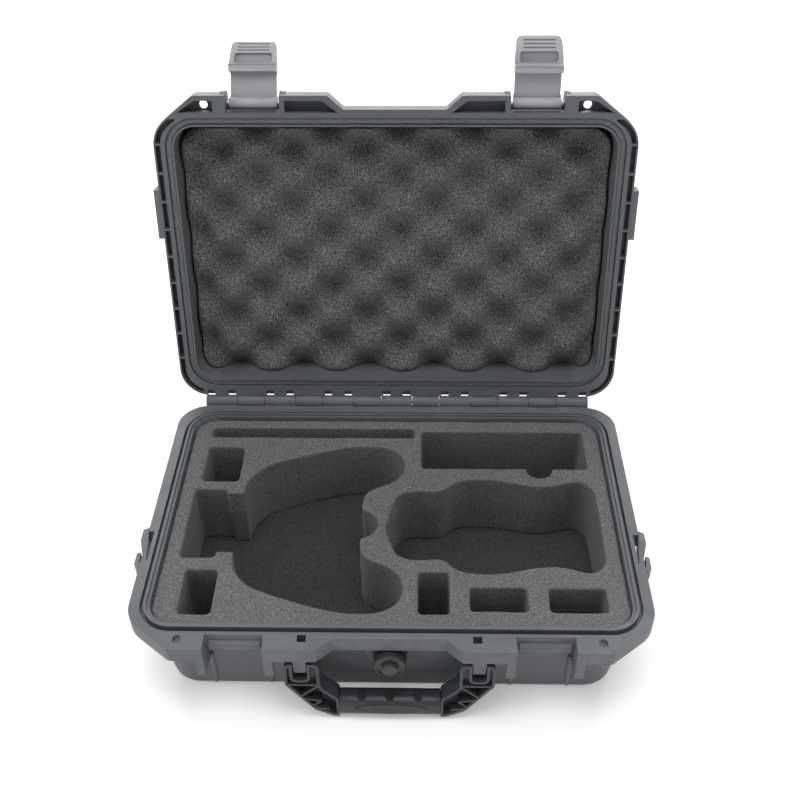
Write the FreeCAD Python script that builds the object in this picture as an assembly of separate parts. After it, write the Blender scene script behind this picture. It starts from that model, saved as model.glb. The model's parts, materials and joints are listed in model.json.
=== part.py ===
import FreeCAD, Part
import math
import os

# Hard carrying case with a die-cut foam insert, shown open.
# Units are millimetres. X runs across the case, +Y towards the hinge, +Z up.
# The origin is the centre of the base's flat underside.
# Lid and latches are drawn with the case shut and then turned to the open rest pose.

V = FreeCAD.Vector
X_AXIS = V(1, 0, 0)
Y_AXIS = V(0, 1, 0)

# ---------------------------------------------------------------- driving dimensions
CASE_WIDTH = 380.0          # across the flange
CASE_DEPTH = 248.8          # flange front to back, without the front ears
BASE_HEIGHT = 70.0          # floor to the base's rim plane
LID_HEIGHT = 48.0           # rim plane to the lid's top
WALL = 3.0
PART_GAP = 0.4              # gap between the two rims when shut

# base body
BASE_TAPER_X = 11.5         # how far each side wall leans in from rim to floor
BASE_TAPER_Y = 0.8
BASE_CORNER_R = 25.0
BASE_EDGE_R = 5.0
PANEL_DEPTH = 1.2           # shallow recesses in the underside
PANEL_EDGE = 22.0
PANEL_MID = 18.0

# rim and flange
FLANGE_PLATE = 4.0
SKIRT_HEIGHT = 13.0
SKIRT_WALL = 2.5
BACK_CORNER_R = 25.0
FRONT_CORNER_R = 26.0
EAR_CORNER_R = 6.0
EAR_REACH = 10.6            # front ears beyond the flange
EAR_OUTER_X = 155.8         # where the ear's front edge meets its chamfer
EAR_CHAMFER_Y = -108.0      # where that chamfer meets the side edge
EAR_INNER_X = 52.0
EAR_SLOPE_X = 12.0
SEAL_INSET_X = 11.6         # sealing line inside the flange's side edge
SEAL_INSET_Y = 9.2
SEAL_CORNER_R = 22.0
RIDGE_WIDTH = 2.0
RIDGE_RISE = 1.5
LEDGE_WIDTH = 2.4           # flat strip between the ridge and the tub
CHANNEL_WIDTH = 2.8
CHANNEL_DEPTH = 4.0
PADLOCK_X = 149.5
PADLOCK_Y = -126.0
PADLOCK_R = 3.3
KEY_SLOT_X = 61.9
KEY_SLOT = 6.4

# latch stations
LATCH_X = 110.0
LATCH_RECESS = 41.8
LATCH_RECESS_DEPTH = 2.8
LATCH_WIDTH = 37.2
LATCH_PIVOT_OUT = 2.9       # pivot line in front of the flange edge
LATCH_PIVOT_UP = 9.5        # pivot line above the lid's rim plane
LATCH_PIN_R = 2.0
LATCH_BARREL_R = 4.2
LATCH_HOOK_V = 23.2         # pivot to the top of the hook
LATCH_HOOK_H = 5.3
LATCH_LENGTH = 48.5
LATCH_PLATE = 3.5
LATCH_TAB = 6.0             # thickness of the thumb tab at the hook
LATCH_TAB_TIP = 3.6
LATCH_FLARE = 7.5           # how far the tab curves away from the case
LATCH_TAB_TAPER = 1.5       # each side, towards the tip
LATCH_TAB_R = 4.5
LATCH_SHOULDER = 0.7        # the tab and barrel are this much wider than the plate, each side
LATCH_RIGHT_OPEN = 92.0     # degrees from shut, rest pose
LATCH_LEFT_OPEN = 112.0
LUG_WIDTH = 6.6
LUG_DROP = 30.0
LUG_WALL = 2.5
LUG_ROUND_R = 9.4
LUG_THICK = 4.2
RECESS_WEB = 2.5            # plate behind the latch barrel
HEEL_CLEARANCE = 5.9        # pivot line to the plate
CATCH_REACH = 3.9
CATCH_HEIGHT = 4.4
RIB_R = 2.1

# hinge
HINGE_OUT = 8.6             # hinge line behind the flange edge
HINGE_UP = 1.1              # hinge line above the rim plane
HINGE_PIN_R = 2.0
KNUCKLE_R = 5.4
KNUCKLE_PITCH = 51.6
LID_KNUCKLE = 23.6
KNUCKLE_GAP = 0.5
HINGE_HALF = 169.0
LEDGE_UNDER_HINGE = 2.5
LID_OPEN = 100.96           # degrees from shut, rest pose
WINDOW = (6.5, 3.0)         # small openings beside each base knuckle
RUNNING_CLEARANCE = 0.06

# lid details
GROOVE_WIDTH = 5.4
GROOVE_DEPTH = 5.0
LIP_WALL = 1.4
GASKET_SINK = 1.5
LID_TAPER = 2.0
LID_EDGE_R = 10.0
BAND_INSET = 1.4            # outer skin outside the open rib band
BAND_WIDTH = 4.0
BAND_DEPTH = 9.0
BAND_PITCH = 23.4
BAND_COUNT = 9              # ribs across the band
BAND_FIRST_RIB = 89.4
BAND_FROM_X = 171.0
BAND_FRONT = -117.0
BAND_RIB = 1.6
EAR_POCKET_WALL = 4.0
EAR_FLOOR = 3.0

# strap eyes on both sides
EYE_Y = (-19.0, -60.0)
EYE_REACH = 4.5
EYE_HEIGHT = 12.0
EYE_TOP_DROP = 0.6

# handle
HANDLE_PIVOT_Y = -129.0
HANDLE_PIVOT_DROP = 22.0    # below the rim
HANDLE_TAB_X = 63.7
HANDLE_TAB_WIDTH = 9.3
HANDLE_TAB_DROP = 28.6
HANDLE_SIDE_GAP = 0.6
HANDLE_PIN_R = 2.5
HANDLE_HALF = 75.0
HANDLE_INNER = 50.0
HANDLE_REACH = 46.5
HANDLE_THICK = 14.0
HANDLE_REST = 8.0           # degrees the handle stands out from upright at rest
CLEVIS_DROP = 10.5          # pivot to the bottom of the slot for the tongue
CLEVIS_R = 2.5
GRIP_HALF = 36.5
GRIP_HEIGHT = 17.0
GRIP_DEPTH = 16.0
GRIP_CORNER_R = 6.0
GRIP_CORE = (10.0, 9.0)
GRIP_OVAL = (26.0, 4.4)
FINGER_GROOVES = (-20.4, 0.0, 20.4)
FINGER_GROOVE_R = 4.2
FINGER_GROOVE_DEPTH = 2.0
TRUSS_WALL = 2.0
TRUSS_DEPTH = 7.0
HEAD_DEPTH = 4.0            # the hollow beside the pin is shallower
BRACE_WIDTH = 1.4
CROSS_BRACE_DROP = 14.5     # level brace, below the pivot
BRACES = ((51.0, 16.2), (66.0, 28.5), (49.5, 31.6), (57.0, 37.4), (44.0, 40.0))   # zigzag: from the middle, drop

# pressure valve
VALVE_DROP = 27.0
VALVE_PAD_HALF = 17.7
VALVE_PAD_RISE = 2.4
VALVE_HOLE_R = 8.0
VALVE_FLANGE_R = 12.5
VALVE_FLANGE = 2.5
VALVE_GASKET = 1.0
VALVE_STEM_R = 3.9
VALVE_KNOB_R = 11.7
VALVE_KNOB_LONG = 8.0
VALVE_KNOB_GAP = 0.5
VALVE_CAP_R = 6.0
VALVE_CAP_OUT = 3.2
KNURL_COUNT = 24
KNURL_R = 1.0

# foam
FOAM_DROP = 3.0             # foam top below the base rim
FOAM_GAP = 0.4
PAD_THICK = 6.0
POCKET_CORNER_R = 3.0
SLOT_DEPTH = 22.0
LID_FOAM_DROP = 13.0        # crests below the lid's rim plane
LID_FOAM_SIDE_GAP = 0.4
PIT_STEP = (29.0, 25.0)     # half pitch of the staggered pits
PIT_FIRST = (-140.6, 108.1)
PIT_COLUMNS = 11
PIT_ROWS = 9
PIT_DEPTH = 19.0
PIT_MOUTH_R = 18.5
PIT_FLOOR_R = 6.0

# ---------------------------------------------------------------- derived places
HALF_X = CASE_WIDTH / 2
HALF_Y = CASE_DEPTH / 2
RIM_Z = BASE_HEIGHT
LID_RIM_Z = RIM_Z + PART_GAP
LID_TOP_Z = RIM_Z + LID_HEIGHT
EAR_Y = -(HALF_Y + EAR_REACH)
SEAL_X = HALF_X - SEAL_INSET_X
SEAL_Y = HALF_Y - SEAL_INSET_Y
RECESS_Y = -(HALF_Y - LATCH_RECESS_DEPTH)
HINGE_Y = HALF_Y + HINGE_OUT
HINGE_Z = RIM_Z + HINGE_UP
FLANGE_BACK = HINGE_Y - KNUCKLE_R - KNUCKLE_GAP
PIVOT_Y = -(HALF_Y + LATCH_PIVOT_OUT)
PIVOT_Z = LID_RIM_Z + LATCH_PIVOT_UP
RIDGE_TO_TUB = RIDGE_WIDTH / 2 + LEDGE_WIDTH
CAVITY_X = SEAL_X - RIDGE_TO_TUB
CAVITY_Y = SEAL_Y - RIDGE_TO_TUB
CAVITY_CORNER_R = SEAL_CORNER_R - RIDGE_TO_TUB
OUTER_X = CAVITY_X + WALL
OUTER_Y = CAVITY_Y + WALL
LID_CAVITY_X = SEAL_X - GROOVE_WIDTH / 2 - LIP_WALL
LID_CAVITY_Y = SEAL_Y - GROOVE_WIDTH / 2 - LIP_WALL
HANDLE_PIVOT_Z = RIM_Z - HANDLE_PIVOT_DROP
VALVE_Z = RIM_Z - VALVE_DROP
FOAM_TOP_Z = RIM_Z - FOAM_DROP
FOAM_FLOOR_Z = WALL + PAD_THICK
LID_FOAM_Z = LID_RIM_Z + LID_FOAM_DROP
SIDES = (-1, 1)

os.makedirs("parts", exist_ok=True)


# ---------------------------------------------------------------- helpers
def box(x0, x1, y0, y1, z0, z1):
    low = V(min(x0, x1), min(y0, y1), min(z0, z1))
    return Part.makeBox(abs(x1 - x0), abs(y1 - y0), abs(z1 - z0), low)


def rounded_wire(half_x, half_y, radius, z):
    """Closed rectangle with round corners, centred on the origin."""
    flat = Part.makePolygon([V(half_x, half_y, z), V(-half_x, half_y, z), V(-half_x, -half_y, z),
                             V(half_x, -half_y, z), V(half_x, half_y, z)])
    return round_corners(flat, [radius] * 4)


def round_corners(polygon, radii):
    """Replace the corners of a closed polygon by tangent arcs; radius 0 stays sharp."""
    points = [vertex.Point for vertex in polygon.OrderedVertexes][:len(radii)]
    count = len(points)
    starts = []
    ends = []
    arcs = []
    for index, radius in enumerate(radii):
        corner = points[index]
        back = (points[index - 1] - corner).normalize()
        ahead = (points[(index + 1) % count] - corner).normalize()
        if radius <= 0:
            starts.append(corner)
            ends.append(corner)
            arcs.append(None)
            continue
        half = back.getAngle(ahead) / 2
        trim = radius / math.tan(half)
        middle = (back + ahead).normalize() * (radius / math.sin(half) - radius)
        starts.append(corner + back * trim)
        ends.append(corner + ahead * trim)
        arcs.append(Part.Arc(starts[-1], corner + middle, ends[-1]).toShape())
    edges = []
    for index in range(count):
        if arcs[index] is not None:
            edges.append(arcs[index])
        target = starts[(index + 1) % count]
        if ends[index].distanceToPoint(target) > 1e-6:
            edges.append(Part.LineSegment(ends[index], target).toShape())
    return Part.Wire(edges)


def rounded_prism(half_x, half_y, radius, z0, z1):
    return Part.Face(rounded_wire(half_x, half_y, radius, z0)).extrude(V(0, 0, z1 - z0))


def ring(half_x, half_y, radius, width, z0, z1):
    """Band of the given width whose centreline is a rounded rectangle."""
    half = width / 2
    outer = rounded_prism(half_x + half, half_y + half, radius + half, z0, z1)
    return outer.cut(rounded_prism(half_x - half, half_y - half, radius - half, z0, z1))


def tapered(lower, upper, z0, z1):
    """Loft between two rounded rectangles, each (half_x, half_y, radius)."""
    return Part.makeLoft([rounded_wire(*lower, z0), rounded_wire(*upper, z1)], True, True)


def profile_prism(points, x0, x1):
    """Extrude a (y, z) outline from x0 to x1."""
    wire = Part.makePolygon([V(x0, y, z) for y, z in points + points[:1]])
    return Part.Face(wire).extrude(V(x1 - x0, 0, 0))


def front_prism(points, y0, y1, radii=None):
    """Extrude an (x, z) outline from y0 to y1."""
    wire = Part.makePolygon([V(x, y0, z) for x, z in points + points[:1]])
    if radii:
        wire = round_corners(wire, radii)
    return Part.Face(wire).extrude(V(0, y1 - y0, 0))


def bar(radius, x0, x1, y, z):
    """Round bar along X."""
    return Part.makeCylinder(radius, abs(x1 - x0), V(min(x0, x1), y, z), X_AXIS)


def disc(radius, y0, y1, x=0.0, z=None):
    """Round disc along Y."""
    return Part.makeCylinder(radius, y1 - y0, V(x, y0, VALVE_Z if z is None else z), Y_AXIS)


def join(shapes):
    """One solid from many."""
    return shapes[0].multiFuse(shapes[1:]).removeSplitter()


def opened(shape):
    """Turn a shape drawn with the lid shut to the open rest pose."""
    turned = shape.copy()
    turned.rotate(V(0, HINGE_Y, HINGE_Z), X_AXIS, -LID_OPEN)
    return turned


def save(name, shape):
    solids = shape.Solids
    result = solids[0] if len(solids) == 1 else Part.makeCompound(solids)
    result.exportStep("parts/" + name + ".step")
    print(name, len(solids), "valid" if result.isValid() else "INVALID", round(result.Volume))


# ---------------------------------------------------------------- flange outline
def flange_outline(z):
    """Outer edge shared by both rims: round back corners, chamfered ears, latch recesses."""
    recess_out = LATCH_X + LATCH_RECESS / 2
    recess_in = LATCH_X - LATCH_RECESS / 2
    half = [
        (HALF_X, FLANGE_BACK, BACK_CORNER_R),
        (HALF_X, EAR_CHAMFER_Y, FRONT_CORNER_R),
        (EAR_OUTER_X, EAR_Y, EAR_CORNER_R),
        (recess_out, EAR_Y, 0),
        (recess_out, RECESS_Y, 0),
        (recess_in, RECESS_Y, 0),
        (recess_in, EAR_Y, 0),
        (EAR_INNER_X, EAR_Y, 3.0),
        (EAR_INNER_X - EAR_SLOPE_X, -HALF_Y, 3.0),
    ]
    other = [(-x, y, r) for x, y, r in reversed(half)]
    corners = half + other
    polygon = Part.makePolygon([V(x, y, z) for x, y, r in corners + corners[:1]])
    return Part.Face(round_corners(polygon, [r for x, y, r in corners]))


def flange(z0, z1):
    return flange_outline(z0).extrude(V(0, 0, z1 - z0))


def wall_y(z):
    """Front wall's outer face at a height; the wall leans in towards the floor."""
    return -(OUTER_Y - BASE_TAPER_Y * (RIM_Z - z) / RIM_Z)


# ---------------------------------------------------------------- base
def base_shell():
    outer = tapered((OUTER_X - BASE_TAPER_X, OUTER_Y - BASE_TAPER_Y, BASE_CORNER_R - 1),
                    (OUTER_X, OUTER_Y, BASE_CORNER_R), 0, RIM_Z)
    floor_edges = [edge for edge in outer.Edges if edge.BoundBox.ZMax < 0.01]
    outer = outer.makeFillet(BASE_EDGE_R, floor_edges)
    skirt_inside = flange_outline(RIM_Z - SKIRT_HEIGHT).makeOffset2D(-SKIRT_WALL)
    skirt = flange(RIM_Z - SKIRT_HEIGHT, RIM_Z).cut(
        skirt_inside.extrude(V(0, 0, SKIRT_HEIGHT - FLANGE_PLATE)))
    ridge = ring(SEAL_X, SEAL_Y, SEAL_CORNER_R, RIDGE_WIDTH,
                 RIM_Z - CHANNEL_DEPTH - WALL, RIM_Z + RIDGE_RISE)
    floor_of_channel = ring(SEAL_X + RIDGE_WIDTH / 2, SEAL_Y + RIDGE_WIDTH / 2, SEAL_CORNER_R + 2,
                            2 * CHANNEL_WIDTH + 2, RIM_Z - CHANNEL_DEPTH - 2, RIM_Z - CHANNEL_DEPTH)
    pieces = [outer, skirt, ridge, floor_of_channel, valve_pad()]
    for side in SIDES:
        pieces += latch_station(side) + [handle_tab(side)] + strap_eye(side)
    pieces += base_knuckles()
    shell = join(pieces)
    offset = RIDGE_WIDTH / 2 + CHANNEL_WIDTH / 2
    channel = ring(SEAL_X + offset, SEAL_Y + offset, SEAL_CORNER_R + offset, CHANNEL_WIDTH,
                   RIM_Z - CHANNEL_DEPTH, RIM_Z + 1)
    inside = tapered((CAVITY_X - BASE_TAPER_X + 1.0, CAVITY_Y - BASE_TAPER_Y + 0.2, CAVITY_CORNER_R),
                     (CAVITY_X, CAVITY_Y, CAVITY_CORNER_R), WALL, RIM_Z)
    cuts = [channel, inside, bar(HINGE_PIN_R, -HINGE_HALF - 1, HINGE_HALF + 1, HINGE_Y, HINGE_Z)]
    cuts.append(disc(VALVE_HOLE_R, wall_y(VALVE_Z) - 10, wall_y(VALVE_Z) + 10))
    for side in SIDES:
        low = RIM_Z - SKIRT_HEIGHT
        cuts.append(Part.makeCylinder(PADLOCK_R, FLANGE_PLATE + 2,
                                      V(side * PADLOCK_X, PADLOCK_Y, RIM_Z - FLANGE_PLATE - 1)))
        cuts.append(box(side * KEY_SLOT_X - KEY_SLOT / 2, side * KEY_SLOT_X + KEY_SLOT / 2,
                        -HALF_Y + 3, -HALF_Y - 3, low + 4, RIM_Z + 1))
        cuts.append(strap_slot(side))
        cuts.append(underside_panel(side))
        cuts.append(handle_pin_hole(side))
    return shell.cut(cuts)


def floor_zone():
    """Space of the tub's flat floor, inside the foot of its walls."""
    return rounded_prism(CAVITY_X - BASE_TAPER_X + 1.0, CAVITY_Y - BASE_TAPER_Y + 0.2, CAVITY_CORNER_R,
                         -1, WALL)


def underside_panel(side):
    """Shallow recess left and right of the centre strip."""
    far = OUTER_X - BASE_TAPER_X - PANEL_EDGE
    depth = OUTER_Y - BASE_TAPER_Y - PANEL_EDGE
    return box(side * PANEL_MID, side * far, -depth, depth, -1, PANEL_DEPTH)


def latch_station(side):
    """Catch bar, the two hanging lugs beside it and the slim ribs on the wall."""
    pieces = []
    half = LATCH_RECESS / 2
    catch_top = RIM_Z - SKIRT_HEIGHT + 1 + CATCH_HEIGHT
    tip = RECESS_Y - CATCH_REACH
    pieces.append(profile_prism([(RECESS_Y + 1, catch_top + 1.5), (tip + 0.8, catch_top),
                                 (tip, catch_top - 1.2), (tip, catch_top - CATCH_HEIGHT),
                                 (RECESS_Y + 1, catch_top - CATCH_HEIGHT)],
                                side * (LATCH_X - half + 2.6), side * (LATCH_X + half - 2.6)))
    for edge, away in ((LATCH_X - half, -1), (LATCH_X + half, 1)):
        low = RIM_Z - LUG_DROP
        top = RIM_Z - SKIRT_HEIGHT + 1
        wall = profile_prism([(EAR_Y, top), (EAR_Y, low + 2), (EAR_Y + 2, low), (EAR_Y + 4, low),
                              (wall_y(top) + 1, low - 4), (wall_y(top) + 1, top)],
                             side * edge, side * (edge + away * LUG_WALL))
        front = front_prism([(side * edge, top), (side * (edge + away * LUG_WIDTH), top),
                             (side * (edge + away * LUG_WIDTH), low), (side * edge, low)],
                            EAR_Y, EAR_Y + LUG_WALL, [0, 0, 2.0, 2.0])
        start = V(side * edge, wall_y(BASE_EDGE_R) + 0.3, BASE_EDGE_R)
        end = V(side * edge, wall_y(low) + 0.3, low)
        rib = Part.makeCylinder(RIB_R, start.distanceToPoint(end), start, end - start)
        pieces += [wall, front, rib]
    return pieces


def handle_tab(side):
    """Tongue under the ear that carries the handle's pin."""
    half = HANDLE_TAB_WIDTH / 2
    low = RIM_Z - HANDLE_TAB_DROP
    top = RIM_Z - FLANGE_PLATE
    x = side * HANDLE_TAB_X
    front = HANDLE_PIVOT_Y - 5.2
    return profile_prism([(front, top), (front, low + 2), (front + 2, low), (HANDLE_PIVOT_Y + 4, low),
                          (wall_y(low) + 1, low + 6), (wall_y(low) + 1, top)], x - half, x + half)


def handle_pin_hole(side):
    reach = HANDLE_TAB_WIDTH
    x = side * HANDLE_TAB_X
    return bar(HANDLE_PIN_R, x - reach, x + reach, HANDLE_PIVOT_Y, HANDLE_PIVOT_Z)


def valve_pad():
    """Flat pad with a round foot behind the valve."""
    face = wall_y(RIM_Z) - VALVE_PAD_RISE
    top = RIM_Z - FLANGE_PLATE
    foot = VALVE_Z
    half = VALVE_PAD_HALF
    plate = box(-half, half, face, wall_y(foot) + 2, foot, top)
    return plate.fuse(disc(half, face, wall_y(foot - half) + 1.0, 0.0, foot))


def strap_eye(side):
    """Two hooked fingers on the flange's side, leaving an open slot for a strap."""
    rear, front = EYE_Y
    reach = side * (HALF_X + EYE_REACH)
    root = side * (HALF_X - 1)
    top = RIM_Z - EYE_TOP_DROP
    low = top - EYE_HEIGHT
    third = (rear - front) / 3
    fingers = []
    for outline in (
        [(root, rear), (reach, rear - 3), (reach, rear - third), (side * (HALF_X - 1.5), front + 6),
         (side * (HALF_X - 4), front + 6), (side * (HALF_X + 0.5), rear - third), (root, rear - 5)],
        [(root, front), (side * (HALF_X + 1.5), front), (reach, front + 3), (reach, front + third),
         (side * (HALF_X + 1.8), front + third + 1), (side * (HALF_X + 0.8), front + 4),
         (root, front + 4)],
    ):
        wire = Part.makePolygon([V(x, y, low) for x, y in outline + outline[:1]])
        fingers.append(Part.Face(wire).extrude(V(0, 0, top - low)))
    return fingers


def strap_slot(side):
    """Opening between the fingers and the flange."""
    rear, front = EYE_Y
    outline = [(side * (HALF_X - 0.2), rear - 5), (side * (HALF_X - 4.6), rear - 5),
               (side * (HALF_X - 4.6), front + 6.6), (side * (HALF_X - 3.9), front + 6.6)]
    wire = Part.makePolygon([V(x, y, RIM_Z - 2 * EYE_HEIGHT) for x, y in outline + outline[:1]])
    return Part.Face(wire).extrude(V(0, 0, 3 * EYE_HEIGHT))


def knuckle_spans():
    """X spans of the lid's knuckles and of the base's, which fill the rest."""
    centres = [(index - 2.5) * KNUCKLE_PITCH for index in range(6)]
    lid = [(x - LID_KNUCKLE / 2, x + LID_KNUCKLE / 2) for x in centres]
    bounds = [-HINGE_HALF] + [x for span in lid for x in span] + [HINGE_HALF]
    base = []
    for start, end in zip(bounds[0::2], bounds[1::2]):
        left = start if start == -HINGE_HALF else start + KNUCKLE_GAP
        right = end if end == HINGE_HALF else end - KNUCKLE_GAP
        base.append((left, right))
    return lid, base


def base_knuckles():
    """Barrels on webs, and a ledge that passes under each of the lid's knuckles."""
    low = RIM_Z - SKIRT_HEIGHT
    pieces = []
    for start, end in knuckle_spans()[1]:
        pieces.append(bar(KNUCKLE_R, start, end, HINGE_Y, HINGE_Z))
        pieces.append(profile_prism([(FLANGE_BACK - 2, low), (FLANGE_BACK, low),
                                     (HINGE_Y, HINGE_Z - KNUCKLE_R), (HINGE_Y, RIM_Z),
                                     (FLANGE_BACK - 2, RIM_Z)], start, end))
    reach = KNUCKLE_R + KNUCKLE_GAP
    for start, end in knuckle_spans()[0]:
        left = start - KNUCKLE_GAP
        right = end + KNUCKLE_GAP
        ledge = profile_prism([(FLANGE_BACK - 2, low), (FLANGE_BACK, low),
                               (HINGE_Y + 2, HINGE_Z - reach - LEDGE_UNDER_HINGE),
                               (HINGE_Y + 2, HINGE_Z - KNUCKLE_R), (FLANGE_BACK, RIM_Z),
                               (FLANGE_BACK - 2, RIM_Z)], left, right)
        pieces.append(ledge.cut(bar(reach, left - 1, right + 1, HINGE_Y, HINGE_Z)))
    return pieces


def hinge_pin():
    return bar(HINGE_PIN_R, -HINGE_HALF + 0.5, HINGE_HALF - 0.5, HINGE_Y, HINGE_Z)


# ---------------------------------------------------------------- foam insert
def pocket_prism(x0, x1, y0, y1, z0):
    """Rectangular pocket with small round corners."""
    low_x, high_x = min(x0, x1), max(x0, x1)
    low_y, high_y = min(y0, y1), max(y0, y1)
    prism = rounded_prism((high_x - low_x) / 2, (high_y - low_y) / 2, POCKET_CORNER_R, z0, RIM_Z)
    prism.translate(V((low_x + high_x) / 2, (low_y + high_y) / 2, 0))
    return prism


def spline_pocket(half, middle_y, z0, square_side=None):
    """Pocket whose outline is a smooth curve, mirrored about y = middle_y."""
    upper = [V(x, middle_y + y, z0) for x, y in half]
    lower = [V(x, middle_y - y, z0) for x, y in reversed(half)]
    curve = Part.BSplineCurve()
    if square_side is None:
        curve.interpolate(Points=upper + lower[1:-1], PeriodicFlag=True)
        wire = Part.Wire([curve.toShape()])
    else:
        curve.interpolate(Points=upper)
        under = Part.BSplineCurve()
        under.interpolate(Points=lower)
        wire = Part.Wire([curve.toShape(), Part.makeLine(upper[-1], lower[0]), under.toShape(),
                          Part.makeLine(lower[-1], upper[0])])
    return Part.Face(wire).extrude(V(0, 0, RIM_Z - z0))


# goggle pocket: rounded D with two lobes, half outline from its flat side
GOGGLE_Y = -10.3
GOGGLE_HALF = [(-121.7, 31.9), (-116.2, 53.3), (-106.6, 63.7), (-95.7, 69.6), (-73.9, 77.8),
               (-41.0, 87.4), (-21.9, 88.9), (-6.5, 87.0), (5.0, 78.0), (8.6, 65.0), (1.2, 48.4),
               (-11.0, 41.0), (-20.5, 35.5), (-24.9, 25.0), (-24.9, 15.1)]
GOGGLE_NOTCH = (-27.0, -11.1, 15.2)
# aircraft pocket: wavy sides and one bulge, half outline from the bulge
CRAFT_Y = -11.0
CRAFT_HALF = [(-5.3, 0.0), (-1.2, 20.0), (3.6, 31.0), (21.7, 36.8), (41.0, 38.6), (47.0, 44.5),
              (58.0, 49.4), (73.7, 50.4), (89.9, 48.5), (106.0, 44.4), (131.0, 43.8), (143.0, 47.5),
              (152.8, 48.0), (160.3, 41.0), (162.6, 24.0), (163.0, 0.0)]
# box pockets: x0, x1, y0, y1
BOX_POCKETS = {
    "square": (-158.6, -128.0, 35.6, 77.1),
    "left_box": (-162.1, -135.3, -47.2, 26.0),
    "lower_left": (-155.0, -130.7, -100.9, -59.4),
    "controller": (22.2, 160.3, 52.0, 98.1),
    "battery_tall": (19.8, 43.1, -99.6, -60.2),
    "battery_mid": (57.8, 100.5, -96.3, -74.5),
    "battery_right": (115.9, 158.4, -97.1, -74.9),
}
NECK = (-137.0, -118.0, -41.1, 21.6)
CONTROLLER_NOTCH = (120.1, 52.0, 10.7)
CABLE_SLOT = (-159.0, 16.3, 89.5, 101.7)


def foam_section(z):
    """Half sizes of the tub at a height, less the foam's gap."""
    share = (RIM_Z - z) / (RIM_Z - WALL)
    return (CAVITY_X - (BASE_TAPER_X - 1.0) * share - FOAM_GAP,
            CAVITY_Y - (BASE_TAPER_Y - 0.2) * share - FOAM_GAP,
            CAVITY_CORNER_R)


def foam_block():
    block = tapered(foam_section(FOAM_FLOOR_Z), foam_section(FOAM_TOP_Z), FOAM_FLOOR_Z, FOAM_TOP_Z)
    low = FOAM_FLOOR_Z - 1
    cuts = [pocket_prism(*limits, low) for limits in BOX_POCKETS.values()]
    cuts.append(pocket_prism(*CABLE_SLOT, FOAM_TOP_Z - SLOT_DEPTH))
    cuts.append(box(*NECK, low, RIM_Z))
    cuts.append(spline_pocket(GOGGLE_HALF, GOGGLE_Y, low, "flat"))
    cuts.append(spline_pocket(CRAFT_HALF, CRAFT_Y, low))
    for x, y, radius in (GOGGLE_NOTCH, CONTROLLER_NOTCH):
        cuts.append(Part.makeCylinder(radius, RIM_Z - low, V(x, y, low)))
    return block.cut(cuts)


def foam_pad():
    return tapered(foam_section(WALL), foam_section(FOAM_FLOOR_Z), WALL, FOAM_FLOOR_Z)


# ---------------------------------------------------------------- lid, drawn shut
def lid_wall_half(z):
    """Outer half sizes of the lid's body at a height."""
    share = (z - LID_RIM_Z) / (LID_TOP_Z - LID_RIM_Z)
    return (LID_CAVITY_X + WALL - LID_TAPER * share, LID_CAVITY_Y + WALL - LID_TAPER * share)


def lid_shell():
    low_x, low_y = lid_wall_half(LID_RIM_Z)
    top_x, top_y = lid_wall_half(LID_TOP_Z)
    body = tapered((low_x, low_y, BASE_CORNER_R - 3), (top_x, top_y, BASE_CORNER_R - 4),
                   LID_RIM_Z, LID_TOP_Z)
    top_edges = [edge for edge in body.Edges if edge.BoundBox.ZMin > LID_TOP_Z - 0.01]
    body = body.makeFillet(LID_EDGE_R, top_edges)
    pieces = [body, flange(LID_RIM_Z, LID_RIM_Z + SKIRT_HEIGHT)]
    for start, end in knuckle_spans()[0]:
        pieces.append(bar(KNUCKLE_R, start, end, HINGE_Y, HINGE_Z))
        top = HINGE_Z + KNUCKLE_R
        pieces.append(box(start, end, FLANGE_BACK - 2, HINGE_Y, LID_RIM_Z + 1.5, top))
    for side in SIDES:
        pieces += latch_lugs(side)
        rear, front = EYE_Y
        pieces.append(box(side * (HALF_X - 1), side * (HALF_X + EYE_REACH), front, rear,
                          LID_RIM_Z + EYE_TOP_DROP, LID_RIM_Z + SKIRT_HEIGHT))
    shell = join(pieces)
    radius = SEAL_CORNER_R - GROOVE_WIDTH / 2 - LIP_WALL
    inside = tapered((LID_CAVITY_X, LID_CAVITY_Y, radius),
                     (LID_CAVITY_X - LID_TAPER, LID_CAVITY_Y - LID_TAPER, radius - 1), LID_RIM_Z,
                     LID_TOP_Z - WALL)
    mouth = rounded_prism(LID_CAVITY_X, LID_CAVITY_Y, radius, LID_RIM_Z - 1, LID_RIM_Z)
    groove = ring(SEAL_X, SEAL_Y, SEAL_CORNER_R, GROOVE_WIDTH, LID_RIM_Z - 1, LID_RIM_Z + GROOVE_DEPTH)
    cuts = [inside, mouth, groove]
    cuts.append(bar(HINGE_PIN_R + RUNNING_CLEARANCE, -HINGE_HALF, HINGE_HALF, HINGE_Y, HINGE_Z))
    for side in SIDES:
        cuts += side_band(side) + ear_pockets(side) + [latch_pin(side)]
        cuts.append(Part.makeCylinder(PADLOCK_R, SKIRT_HEIGHT + 2,
                                      V(side * PADLOCK_X, PADLOCK_Y, LID_RIM_Z - 1)))
    for start, end in knuckle_spans()[1]:
        for x in (start + 1.5, end - 1.5 - WINDOW[0]):
            cuts.append(box(x, x + WINDOW[0], FLANGE_BACK - 5, FLANGE_BACK + 1, LID_RIM_Z - 1,
                            LID_RIM_Z + WINDOW[1]))
    return shell.cut(cuts)


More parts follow.
